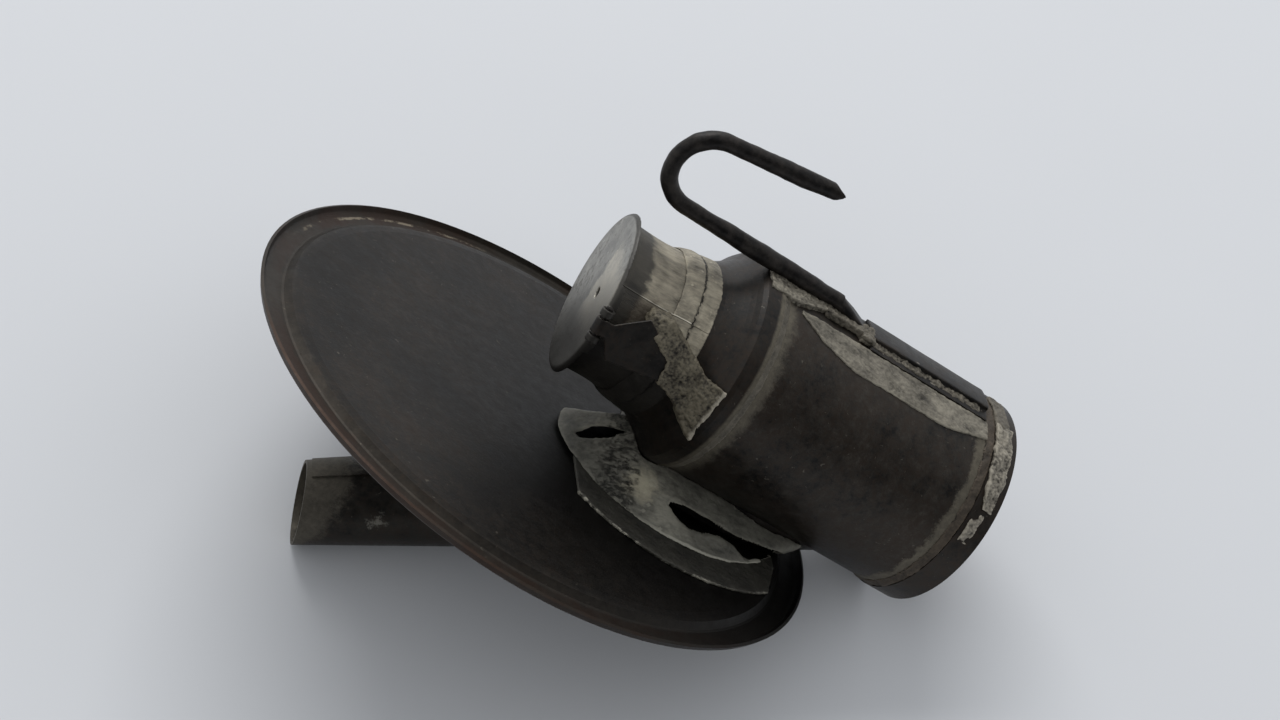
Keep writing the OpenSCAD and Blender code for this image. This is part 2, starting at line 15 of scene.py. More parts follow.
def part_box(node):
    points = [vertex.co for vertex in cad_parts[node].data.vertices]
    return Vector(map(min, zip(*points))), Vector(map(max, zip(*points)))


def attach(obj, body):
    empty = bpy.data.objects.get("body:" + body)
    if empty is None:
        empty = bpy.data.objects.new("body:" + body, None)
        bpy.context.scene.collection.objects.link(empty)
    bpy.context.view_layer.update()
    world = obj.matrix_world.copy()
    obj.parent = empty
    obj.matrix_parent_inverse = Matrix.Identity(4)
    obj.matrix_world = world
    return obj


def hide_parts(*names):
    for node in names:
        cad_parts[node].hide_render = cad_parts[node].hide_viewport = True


bl_info = {
    "name": "Oil wick cap lamp",
    "version": (1, 0, 0),
    "blender": (4, 5, 0),
    "location": "View3D > Sidebar > Cap lamp",
    "description": "Models and finishes an old cap lamp of soldered tin sheet",
    "category": "Object",
}

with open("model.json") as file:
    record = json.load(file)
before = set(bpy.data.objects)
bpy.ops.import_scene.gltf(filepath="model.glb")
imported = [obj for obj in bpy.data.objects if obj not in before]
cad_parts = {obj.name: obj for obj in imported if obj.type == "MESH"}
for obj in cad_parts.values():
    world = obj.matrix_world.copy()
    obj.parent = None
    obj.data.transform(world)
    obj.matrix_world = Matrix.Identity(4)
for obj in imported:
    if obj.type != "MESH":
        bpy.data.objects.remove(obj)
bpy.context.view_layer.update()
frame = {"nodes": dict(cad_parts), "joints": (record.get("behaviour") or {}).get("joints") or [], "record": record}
NODES = frame["nodes"]
MM = 0.001


def lamp_axes():
    """The upright lamp's own axes as it lies: origin under the foot, Z up the font, X to the spout."""
    record = frame["record"]
    foot = next(m for m in record["mounts"] if m["name"] == "foot")
    feed = next(j for j in frame["joints"] if j["name"] == "wick_feed")
    up = -Vector(foot["axis"]).normalized()
    along = Vector(feed["axis"])
    front = (along - up * along.dot(up)).normalized()
    turn = Matrix((front, up.cross(front), up)).transposed().to_4x4()
    return Matrix.Translation(Vector(foot["pos_m"])) @ turn


LAMP = lamp_axes()
SPOUT_RISE = math.radians(55.5)
LID_EDGE = 0.62 * MM
SPOUT_BACK = 2.6
SPOUT_L = 107.4
SPOUT_R = 6.85
SPOUT_FLARE = 0.035


def linear(code):
    """A colour written as sRGB hex, as the linear values that a shader takes."""
    values = [int(code[i : i + 2], 16) / 255 for i in (1, 3, 5)]
    return tuple(v / 12.92 if v <= 0.04045 else ((v + 0.055) / 1.055) ** 2.4 for v in values)


# ---- sizes and colours that a user would change


class LampFinish(bpy.types.PropertyGroup):
    """Colours of the lamp's metals and wick."""

    soot: bpy.props.FloatVectorProperty(
        name="Soot", description="Sooty skin of the tin sheet", subtype="COLOR", default=linear("#0f0e0d"))
    tin: bpy.props.FloatVectorProperty(
        name="Worn tin", description="Tin sheet where the soot has rubbed off", subtype="COLOR",
        default=linear("#46413a"))
    rust: bpy.props.FloatVectorProperty(
        name="Rust", description="Rust where the tin has gone", subtype="COLOR", default=linear("#2f261e"))
    solder: bpy.props.FloatVectorProperty(
        name="Solder", description="Old soft solder", subtype="COLOR", default=linear("#8f897b"))
    cotton: bpy.props.FloatVectorProperty(
        name="Cotton", description="Wick yarn", subtype="COLOR", default=linear("#b8a988"))


class LampWear(bpy.types.PropertyGroup):
    """Depth of the wear on the lamp."""

    crumple: bpy.props.FloatProperty(
        name="Crumple", description="Depth of the crumples in the saddle's skin", unit="LENGTH",
        default=0.45 * MM, min=0, max=1 * MM)
    lump: bpy.props.FloatProperty(
        name="Solder lumps", description="Height of the lumps in the solder", unit="LENGTH",
        default=0.5 * MM, min=0, max=1 * MM)
    pits: bpy.props.FloatProperty(
        name="Pits", description="Depth of the pits and scratches in the sheet", unit="LENGTH",
        default=0.05 * MM, min=0, max=0.3 * MM)


class LampStage(bpy.types.PropertyGroup):
    """The table and the light."""

    table: bpy.props.FloatVectorProperty(
        name="Table", description="Colour of the table top", subtype="COLOR", default=linear("#d4d6d9"))
    window: bpy.props.FloatProperty(
        name="Window light", description="Power of the soft light behind the lamp", subtype="POWER",
        default=13, min=0, max=100)
    room: bpy.props.FloatProperty(
        name="Room light", description="Strength of the light from the room", subtype="FACTOR",
        default=0.9, min=0, max=1)


# ---- making and finishing pieces


def pick(piece):
    """Makes one object the only selected and active one."""
    bpy.ops.object.select_all(action="DESELECT")
    piece.select_set(True)
    bpy.context.view_layer.objects.active = piece


def change(piece, kind, **settings):
    """Adds a modifier with its settings and applies it."""
    pick(piece)
    modifier = piece.modifiers.new(kind.title(), kind)
    for name, value in settings.items():
        setattr(modifier, name, value)
    bpy.ops.object.modifier_apply(modifier=modifier.name)


def roughen(piece, depth, size, seed=0, still=0.5):
    """Moves the skin in and out by a cloudy pattern whose lumps are of the given size; where it is at still, it stays."""
    clouds = bpy.data.textures.new(f"{piece.name}_lumps", "CLOUDS")
    clouds.noise_scale = size
    clouds.noise_depth = 2
    pick(piece)
    anchor = bpy.data.objects.new("lump_anchor", None)
    bpy.context.scene.collection.objects.link(anchor)
    anchor.location = (seed * 0.37, seed * 0.61, seed * 0.13)
    bpy.context.view_layer.update()
    change(piece, "DISPLACE", texture=clouds, texture_coords="OBJECT", texture_coords_object=anchor,
           strength=depth, mid_level=still)
    bpy.data.objects.remove(anchor)


def lay_down(piece):
    """Turns a piece that was shaped on the upright lamp to where the lamp lies."""
    pick(piece)
    bpy.ops.object.transform_apply(location=True, rotation=True, scale=True)
    piece.matrix_world = LAMP.copy()
    bpy.ops.object.transform_apply(location=True, rotation=True, scale=True)
    return piece


def fit(piece, name, body, material, stands_for=()):
    """Names a finished piece, gives it its finish and hangs it on its body."""
    piece.name = name
    piece.data.name = name
    piece.data.materials.clear()
    piece.data.materials.append(material)
    pick(piece)
    bpy.ops.object.shade_smooth_by_angle(angle=math.radians(40))
    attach(piece, body)
    if stands_for:
        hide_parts(*stands_for)
    return piece


def solid_copy(name):
    """A closed copy of a CAD node, with its loose triangles merged."""
    piece = bpy.data.objects.new(f"{name}_copy", NODES[name].data.copy())
    bpy.context.scene.collection.objects.link(piece)
    pick(piece)
    bpy.ops.object.mode_set(mode="EDIT")
    bpy.ops.mesh.select_all(action="SELECT")
    bpy.ops.mesh.remove_doubles(threshold=0.002 * MM)
    bpy.ops.object.mode_set(mode="OBJECT")
    return piece


def join(pieces):
    """Makes several objects one."""
    bpy.ops.object.select_all(action="DESELECT")
    for piece in pieces:
        piece.select_set(True)
    bpy.context.view_layer.objects.active = pieces[0]
    bpy.ops.object.join()
    return pieces[0]


def cut_off(piece, point, normal):
    """Cuts away what lies past a plane, and closes the cut."""
    pick(piece)
    bpy.ops.object.mode_set(mode="EDIT")
    bpy.ops.mesh.select_all(action="SELECT")
    bpy.ops.mesh.bisect(plane_co=point, plane_no=normal, clear_outer=True, use_fill=True)
    bpy.ops.object.mode_set(mode="OBJECT")


def trim(piece, normal, depth):
    """Cuts away the outermost part of a piece, so many millimetres deep."""
    reach = max(v.co.dot(normal) for v in piece.data.vertices)
    cut_off(piece, normal * (reach - depth * MM), normal)


def on_font(angle, radius, height):
    """A point of the upright lamp, by its angle round the font from the spout, in degrees and millimetres."""
    turn = math.radians(angle)
    return Vector((radius * math.cos(turn), radius * math.sin(turn), height)) * MM


def spun_run(inner, outer, low, high, start, end, cuts=()):
    """A run of solder laid round the font: its section is spun from one angle to another, then cut."""
    bpy.ops.object.select_all(action="DESELECT")
    bpy.ops.mesh.primitive_plane_add(
        size=1, location=((inner + outer) / 2 * MM, 0, (low + high) / 2 * MM), rotation=(math.pi / 2, 0, 0))
    run = bpy.context.active_object
    run.scale = ((outer - inner) * MM, (high - low) * MM, 1)
    bpy.ops.object.transform_apply(location=True, rotation=True, scale=True)
    run.rotation_euler[2] = math.radians(start)
    bpy.ops.object.transform_apply(location=False, rotation=True, scale=False)
    bpy.ops.object.mode_set(mode="EDIT")
    bpy.ops.mesh.select_all(action="SELECT")
    steps = max(4, round((end - start) / 2))
    bpy.ops.mesh.spin(steps=steps, angle=math.radians(end - start), center=(0, 0, 0), axis=(0, 0, -1))
    bpy.ops.mesh.select_all(action="SELECT")
    bpy.ops.mesh.remove_doubles(threshold=0.002 * MM)
    bpy.ops.mesh.normals_make_consistent(inside=False)
    bpy.ops.object.mode_set(mode="OBJECT")
    middle = on_font((start + end) / 2, (inner + outer) / 2, (low + high) / 2)
    for (angle_a, height_a), (angle_b, height_b) in cuts:
        a, b = on_font(angle_a, 18, height_a), on_font(angle_b, 18, height_b)
        away = (b - a).cross(on_font((angle_a + angle_b) / 2, 1, 0)).normalized()
        cut_off(run, a, away if (middle - a).dot(away) < 0 else -away)
    return run


def lumpy(run, voxel, smoothing, depth, size, seed, fine=0, still=0.5):
    """Gives a piece one even skin, rounds its edges and makes it lumpy."""
    change(run, "REMESH", mode="VOXEL", voxel_size=voxel * MM)
    change(run, "SMOOTH", factor=0.5, iterations=smoothing)
    roughen(run, depth, size * MM, seed, still)
    if fine:
        roughen(run, fine, size * 0.3 * MM, seed + 0.5)
    return run


def dress(name, *materials):
    """Puts better materials on a CAD node's own slots."""
    slots = NODES[name].data.materials
    for i, material in enumerate(materials):
        if i < len(slots):
            slots[i] = material
        else:
            slots.append(material)


# ---- materials


def add(tree, kind, inputs=None, take=0, stops=None, **settings):
    """Adds a node with its settings and links, and gives one of its outputs."""
    node = tree.nodes.new(kind)
    for name, value in settings.items():
        setattr(node, name, value)
    for name, value in (inputs or {}).items():
        if isinstance(value, bpy.types.NodeSocket):
            tree.links.new(value, node.inputs[name])
        else:
            node.inputs[name].default_value = value
    for i, (at, value) in enumerate(stops or ()):
        ramp = node.color_ramp.elements
        stop = ramp[i] if i < 2 else ramp.new(at)
        stop.position = at
        stop.color = (*value, 1) if isinstance(value, tuple) else (value, value, value, 1)
    return node.outputs[take] if node.outputs else None


def new_material(name):
    """An empty node material, its tree, and the lamp's own coordinates in millimetres."""
    material = bpy.data.materials.new(name)
    material.use_nodes = True
    tree = material.node_tree
    tree.nodes.clear()
    where = add(tree, "ShaderNodeTexCoord", take=3)
    lamp = add(tree, "ShaderNodeMapping", {
        "Vector": where, "Location": LAMP.to_translation(), "Rotation": LAMP.to_euler(),
        "Scale": (MM, MM, MM)}, vector_type="TEXTURE")
    return material, tree, lamp


def close_material(tree, colour, roughness, height, metallic, depth):
    """Joins colour, roughness and height, in units of depth, to the shader and the output."""
    bump = add(tree, "ShaderNodeBump", {"Height": height, "Distance": depth, "Strength": 1})
    shader = add(tree, "ShaderNodeBsdfPrincipled", {
        "Base Color": colour, "Roughness": roughness, "Metallic": metallic, "Normal": bump})
    add(tree, "ShaderNodeOutputMaterial", {"Surface": shader})


def blend(tree, share, a, b):
    """Mixes two colours by a share from 0 to 1."""
    return add(tree, "ShaderNodeMix", {
        0: share, 6: a if isinstance(a, bpy.types.NodeSocket) else (*a, 1),
        7: b if isinstance(b, bpy.types.NodeSocket) else (*b, 1)}, take=2, data_type="RGBA")


def between(tree, value, low, high, soft, wobble=None, spread=0):
    """A mask that is 1 from low to high, with edges that wander by spread times wobble."""
    if wobble is not None:
        shift = add(tree, "ShaderNodeMath", {0: wobble, 1: 0.5}, operation="SUBTRACT")
        value = add(tree, "ShaderNodeMath", {0: shift, 1: spread, 2: value}, operation="MULTIPLY_ADD")
    rise = add(tree, "ShaderNodeMapRange", {"Value": value, "From Min": low - soft, "From Max": low + soft},
               interpolation_type="SMOOTHSTEP")
    fall = add(tree, "ShaderNodeMapRange", {"Value": value, "From Min": high - soft, "From Max": high + soft},
               interpolation_type="SMOOTHSTEP")
    return add(tree, "ShaderNodeMath", {0: rise, 1: fall}, operation="SUBTRACT")


def tin_sheet(name, soot, bare, rust, rusting=0.3, smears=(), smear=None, metallic=0.55, gloss=(0.36, 0.55),
              shade=None, bright="#6f6a60", worn_edges=False):
    """Tinned sheet iron, hot dipped and hand worked, now sooty.

    It shows cloudy soot 5 to 15 mm across over grey tin, brown rust spots about 1 mm wide, faint
    rubbing marks, light flecks under 1 mm, and dull smears of solder where smears gives a range of
    height, the softness of its edge and how far that edge wanders.
    """
    material, tree, lamp = new_material(name)
    clouds = add(tree, "ShaderNodeTexNoise", {"Vector": lamp, "Scale": 1 / 14, "Detail": 5, "Roughness": 0.62})
    mottle = add(tree, "ShaderNodeTexNoise", {"Vector": lamp, "Scale": 1 / 2.6, "Detail": 6, "Roughness": 0.78})
    grain = add(tree, "ShaderNodeTexNoise", {"Vector": lamp, "Scale": 1 / 0.5, "Detail": 3, "Roughness": 0.6})
    wear = add(tree, "ShaderNodeMath", {0: clouds, 1: 0.5, 2: -0.06}, operation="MULTIPLY_ADD")
    wear = add(tree, "ShaderNodeMath", {0: mottle, 1: 0.66, 2: wear}, operation="MULTIPLY_ADD")
    share = add(tree, "ShaderNodeValToRGB", {"Fac": wear}, stops=[(0.42, 0.0), (0.68, 1.0)])
    colour = blend(tree, share, soot, bare)
    spots = add(tree, "ShaderNodeTexNoise", {"Vector": lamp, "Scale": 1 / 1.1, "Detail": 6, "Roughness": 0.75})
    patches = add(tree, "ShaderNodeMath", {0: clouds, 1: 0.6, 2: rusting * 0.4 - 0.3}, operation="MULTIPLY_ADD")
    rusty = add(tree, "ShaderNodeMath", {0: spots, 1: patches}, operation="ADD")
    rusty = add(tree, "ShaderNodeValToRGB", {"Fac": rusty}, stops=[(0.58, 0.0), (0.85, 1.0)])
    colour = blend(tree, rusty, colour, rust)
    flecks = add(tree, "ShaderNodeTexNoise", {"Vector": lamp, "Scale": 1 / 0.8, "Detail": 2, "Roughness": 0.5,
                                              "Distortion": 0.8})
    flecks = add(tree, "ShaderNodeValToRGB", {"Fac": flecks}, stops=[(0.7, 0.0), (0.76, 0.5)])
    colour = blend(tree, flecks, colour, linear(bright))
    if worn_edges:
        form = add(tree, "ShaderNodeNewGeometry", take=7)
        edge = add(tree, "ShaderNodeMath", {0: mottle, 1: 0.1, 2: form}, operation="MULTIPLY_ADD")
        edge = add(tree, "ShaderNodeMapRange", {"Value": edge, "From Min": 0.585, "From Max": 0.65, "To Max": 0.8})
        colour = blend(tree, edge, colour, linear("#8d867a"))
    rough = add(tree, "ShaderNodeMapRange", {"Value": mottle, "From Min": 0.3, "From Max": 0.7,
                                             "To Min": gloss[0], "To Max": gloss[1]})
    height = add(tree, "ShaderNodeMath", {0: grain, 1: 0.35, 2: mottle}, operation="MULTIPLY_ADD")
    if shade:
        colour, height = shade(tree, lamp, colour, height)
    z = add(tree, "ShaderNodeSeparateXYZ", {"Vector": lamp}, take=2)
    for low, high, soft, spread in smears:
        mask = between(tree, z, low, high, soft, mottle, spread)
        tone = add(tree, "ShaderNodeMath", {0: mask, 1: spots}, operation="MULTIPLY")
        tone = add(tree, "ShaderNodeMath", {0: tone, 1: 1.5}, operation="MULTIPLY", use_clamp=True)
        colour = blend(tree, tone, colour, smear)
        rough = add(tree, "ShaderNodeMix", {0: mask, 2: rough, 3: 0.6})
        height = add(tree, "ShaderNodeMath", {0: mask, 1: 1.5, 2: height}, operation="MULTIPLY_ADD")
    close_material(tree, colour, rough, height, metallic, bpy.context.scene.lamp_wear.pits)
    return material


def smoke_and_shade(tree, lamp, colour, height):
    """Soot and painted shade that darken the reflector towards the saddle, and a border rubbed paler and rusted below.
    """
    flat = add(tree, "ShaderNodeMapping", {"Vector": lamp, "Scale": (0, 1, 1)})
    wander = add(tree, "ShaderNodeTexNoise", {"Vector": lamp, "Scale": 1 / 3, "Detail": 6, "Roughness": 0.75})
    from_middle = add(tree, "ShaderNodeVectorMath", {0: flat, 1: (0, 0, 65.3)}, take=1, operation="DISTANCE")
    from_saddle = add(tree, "ShaderNodeVectorMath", {0: flat, 1: (0, 8, 38)}, take=1, operation="DISTANCE")
    rubbed = between(tree, from_middle, 46, 60, 1.2, wander, 4)
    rubbed = add(tree, "ShaderNodeMath", {0: rubbed, 1: wander}, operation="MULTIPLY")
    colour = blend(tree, rubbed, colour, linear("#3f3a33"))
    patches = add(tree, "ShaderNodeTexNoise", {"Vector": lamp, "Scale": 1 / 16, "Detail": 5, "Roughness": 0.65})
    patches = add(tree, "ShaderNodeValToRGB", {"Fac": patches}, stops=[(0.42, 0.0), (0.58, 1.0)])
    rusty = between(tree, from_middle, 47.3, 60, 0.5, wander, 3)
    rusty = add(tree, "ShaderNodeMath", {0: rusty, 1: patches}, operation="MULTIPLY")
    rusty = add(tree, "ShaderNodeMath", {0: rusty, 1: 0.85}, operation="MULTIPLY")
    colour = blend(tree, rusty, colour, linear("#33241b"))
    upper = add(tree, "ShaderNodeVectorMath", {0: flat, 1: (0, -0.8, 0.6)}, take=1, operation="DOT_PRODUCT")
    upper = add(tree, "ShaderNodeMapRange", {"Value": upper, "From Min": 81, "From Max": 86})
    scraped = between(tree, from_middle, 48.6, 49.2, 0.12, wander, 1.4)
    scraped = add(tree, "ShaderNodeMath", {0: scraped, 1: upper}, operation="MULTIPLY")
    broken = add(tree, "ShaderNodeMapRange", {"Value": wander, "From Min": 0.48, "From Max": 0.56})
    scraped = add(tree, "ShaderNodeMath", {0: scraped, 1: broken}, operation="MULTIPLY")
    colour = blend(tree, scraped, colour, linear("#857b6a"))
    # Darker towards the saddle: partly soot, partly painted shade, standing for the fall of light across the disc and
    # the shade under the saddle.
    sooty = add(tree, "ShaderNodeMapRange", {"Value": from_saddle, "From Min": 18, "From Max": 64,
                                             "To Min": 0.95, "To Max": 0.0}, interpolation_type="SMOOTHSTEP")
    return blend(tree, sooty, colour, linear("#0b0907")), height


def spout_marks(tree, lamp, colour, height):
    """Soot in the spout's bore, and a crumb of old solder near its mouth."""
    along = (math.cos(SPOUT_RISE), 0, math.sin(SPOUT_RISE))
    lamp_axis = add(tree, "ShaderNodeVectorMath", {0: lamp, 1: (SPOUT_BACK, 0, 0)}, operation="ADD")
    out = add(tree, "ShaderNodeVectorMath", {0: lamp_axis, 1: along}, operation="CROSS_PRODUCT")
    out = add(tree, "ShaderNodeVectorMath", {0: out}, take=1, operation="LENGTH")
    far = add(tree, "ShaderNodeVectorMath", {0: lamp_axis, 1: along}, take=1, operation="DOT_PRODUCT")
    skin = add(tree, "ShaderNodeMath", {0: far, 1: SPOUT_FLARE, 2: out}, operation="MULTIPLY_ADD")
    limit = SPOUT_R + SPOUT_FLARE * SPOUT_L - 0.25
    bore = add(tree, "ShaderNodeMapRange", {"Value": skin, "From Min": limit, "From Max": limit - 0.1})
    wander = add(tree, "ShaderNodeTexNoise", {"Vector": lamp, "Scale": 1 / 1.1, "Detail": 5, "Roughness": 0.75})
    crumb = add(tree, "ShaderNodeVectorMath", {0: lamp, 1: (50.2, 7.2, 78.6)}, take=1, operation="DISTANCE")
    crumb = between(tree, crumb, -9, 0.9, 0.7, wander, 7)
    colour = blend(tree, crumb, colour, linear("#6f6c63"))
    return blend(tree, bore, colour, linear("#0a0908")), height


def lid_painted_light(tree, lamp, colour, height):
    """Painted light on the lid: painted shade on its low side and round its rim, and a painted highlight on the half
    past the crease at its vent.
    """
    from_axis = add(tree, "ShaderNodeMapping", {"Vector": lamp, "Scale": (1, 1, 0)})
    from_axis = add(tree, "ShaderNodeVectorMath", {0: from_axis}, take=1, operation="LENGTH")
    towards = add(tree, "ShaderNodeVectorMath", {0: lamp, 1: (0.8, 0.6, 0)}, take=1, operation="DOT_PRODUCT")
    towards = add(tree, "ShaderNodeMath", {0: height, 1: 3, 2: towards}, operation="MULTIPLY_ADD")
    x = add(tree, "ShaderNodeSeparateXYZ", {"Vector": lamp})
    # Painted highlight: the half of the lid past the crease at the vent, paler where the crease catches the light.
    near = between(tree, x.node.outputs[1], 0, 20, 0.5, height, 3)
    bright = between(tree, x, -8, 4, 2.0, height, 3)
    bright = add(tree, "ShaderNodeMath", {0: bright, 1: height}, operation="MULTIPLY")
    bright = add(tree, "ShaderNodeMath", {0: bright, 1: near}, operation="MULTIPLY")
    bright = add(tree, "ShaderNodeMath", {0: bright, 1: 0.75}, operation="MULTIPLY")
    colour = blend(tree, bright, colour, linear("#dfd8c8"))
    # Painted shade: the lid darkens towards its low side, away from the light.
    low = add(tree, "ShaderNodeMapRange", {"Value": towards, "From Min": -3, "From Max": 11,
                                           "To Max": 0.88}, interpolation_type="SMOOTHSTEP")
    colour = blend(tree, low, colour, linear("#2b2925"))
    # Painted shade: the rim is darkened all round, as the shade at the lid's thin turned edge.
    rim = between(tree, from_axis, 13.3, 18, 0.2, height, 0.6)
    rim = add(tree, "ShaderNodeMath", {0: rim, 1: 0.85}, operation="MULTIPLY")
    return blend(tree, rim, colour, linear("#2d2b28")), height


def old_solder(name, light, dirt, drawn=1.0, metallic=0.3, low=0.36, high=0.66, shade=None, way=(0, 0, 1)):
    """Soft solder laid with a copper and never cleaned: dull and pale, with dirt in its hollows.

    It was wiped along the way given, so its streaks are drawn out that many times as long as wide.
    """
    material, tree, lamp = new_material(name)
    wiped = add(tree, "ShaderNodeMapping", {
        "Vector": lamp, "Rotation": Vector(way).to_track_quat("Z", "Y").to_euler(), "Scale": (1, 1, drawn)},
        vector_type="TEXTURE")
    streaks = add(tree, "ShaderNodeTexNoise", {"Vector": wiped, "Scale": 1 / 1.3, "Detail": 8, "Roughness": 0.78})
    clouds = add(tree, "ShaderNodeTexNoise", {"Vector": lamp, "Scale": 1 / 5, "Detail": 3, "Roughness": 0.6})
    form = add(tree, "ShaderNodeNewGeometry", take=7)
    hollow = add(tree, "ShaderNodeMapRange", {"Value": form, "From Min": 0.43, "From Max": 0.57,
                                              "To Min": -0.2, "To Max": 0.2})
    tone = add(tree, "ShaderNodeMath", {0: clouds, 1: 0.5, 2: hollow}, operation="MULTIPLY_ADD")
    tone = add(tree, "ShaderNodeMath", {0: streaks, 1: 0.6, 2: tone}, operation="MULTIPLY_ADD")
    share = add(tree, "ShaderNodeValToRGB", {"Fac": tone}, stops=[(low, 0.0), (high, 1.0)])
    colour = blend(tree, share, dirt, light)
    height = streaks
    if shade:
        colour, height = shade(tree, lamp, colour, height)
    rough = add(tree, "ShaderNodeMapRange", {"Value": streaks, "To Min": 0.45, "To Max": 0.7})
    close_material(tree, colour, rough, height, metallic, 0.22 * MM)
    return material


def neck_marks_and_painted_light(tree, lamp, colour, height):
    """The crack round the foot of the neck, the edge of its lapped seam with a painted highlight, a painted shadow
    under the lid, and soot with painted shade in front.
    """
    x = add(tree, "ShaderNodeSeparateXYZ", {"Vector": lamp})
    y, z = x.node.outputs[1], x.node.outputs[2]
    wander = add(tree, "ShaderNodeTexNoise", {"Vector": lamp, "Scale": 1 / 1.6, "Detail": 4})
    crumbs = add(tree, "ShaderNodeTexNoise", {"Vector": lamp, "Scale": 1 / 0.5, "Detail": 5, "Roughness": 0.8})
    crumbs = add(tree, "ShaderNodeMath", {0: crumbs, 1: wander}, operation="ADD")
    crack = between(tree, z, 60.5, 60.75, 0.1, crumbs, 1.2)
    broken = add(tree, "ShaderNodeMapRange", {"Value": crumbs, "From Min": 0.85, "From Max": 0.95,
                                              "To Min": 0.25, "To Max": 1.0})
    crack = add(tree, "ShaderNodeMath", {0: crack, 1: broken}, operation="MULTIPLY")
    colour = blend(tree, crack, colour, linear("#15120f"))
    height = add(tree, "ShaderNodeMath", {0: crack, 1: -1.2, 2: height}, operation="MULTIPLY_ADD")
    across = add(tree, "ShaderNodeMath", {0: y, 1: 0.602}, operation="MULTIPLY")
    across = add(tree, "ShaderNodeMath", {0: x, 1: 0.799, 2: across}, operation="MULTIPLY_ADD")
    lap = add(tree, "ShaderNodeMapRange", {"Value": across, "From Min": -0.06, "From Max": 0.06})
    height = add(tree, "ShaderNodeMath", {0: lap, 1: -1.5, 2: height}, operation="MULTIPLY_ADD")
    # Painted highlight: a bright line on the lit part of the lap's edge.
    near = add(tree, "ShaderNodeMath", {0: y, 1: 4}, operation="GREATER_THAN")
    above = add(tree, "ShaderNodeMath", {0: z, 1: 60.2}, operation="GREATER_THAN")
    edge = between(tree, across, -0.2, -0.05, 0.05, wander, 0.2)
    edge = add(tree, "ShaderNodeMath", {0: edge, 1: near}, operation="MULTIPLY")
    edge = add(tree, "ShaderNodeMath", {0: edge, 1: above}, operation="MULTIPLY")
    colour = blend(tree, edge, colour, linear("#d6d0c0"))
    # Painted shadow of the lid across the top of the neck.
    under = add(tree, "ShaderNodeMath", {0: wander, 1: 3, 2: z}, operation="MULTIPLY_ADD")
    under = add(tree, "ShaderNodeMapRange", {"Value": under, "From Min": 69.8, "From Max": 71.0,
                                             "To Max": 0.85}, interpolation_type="SMOOTHSTEP")
    colour = blend(tree, under, colour, linear("#2f2d2a"))
    # Darker on the front side: soot, and painted shade where that side faces away from the light.
    front = add(tree, "ShaderNodeMath", {0: wander, 1: 3, 2: x}, operation="MULTIPLY_ADD")
    front = add(tree, "ShaderNodeMapRange", {"Value": front, "From Min": 0.2, "From Max": 3.4,
                                             "To Max": 0.95}, interpolation_type="SMOOTHSTEP")
    colour = blend(tree, front, colour, linear("#1a1714"))
    burnt = add(tree, "ShaderNodeVectorMath", {0: lamp, 1: (-4.5, 11.0, 66.5)}, take=1, operation="DISTANCE")
    burnt = between(tree, burnt, -9, 3.2, 1.4, wander, 6)
    burnt = add(tree, "ShaderNodeMath", {0: burnt, 1: crumbs}, operation="MULTIPLY")
    burnt = add(tree, "ShaderNodeMath", {0: burnt, 1: 0.7}, operation="MULTIPLY")
    return blend(tree, burnt, colour, linear("#3a2e22")), height


def tongue_marks(tree, lamp, colour, height):
    """The bright lip where the tongue of solder ends."""
    wander = add(tree, "ShaderNodeTexNoise", {"Vector": lamp, "Scale": 1 / 1.4, "Detail": 5, "Roughness": 0.7})
    out = add(tree, "ShaderNodeVectorMath", {0: lamp, 1: (-0.022, 0.399, -0.912)}, take=1, operation="DOT_PRODUCT")
    end = Vector((2.95, 18.02, 51.34)).dot(Vector((-0.022, 0.399, -0.912)))
    lip = between(tree, out, end - 0.5, end + 2, 0.3, wander, 1.6)
    lip = add(tree, "ShaderNodeMath", {0: lip, 1: 0.75}, operation="MULTIPLY")
    return blend(tree, lip, colour, linear("#b5ae9e")), height


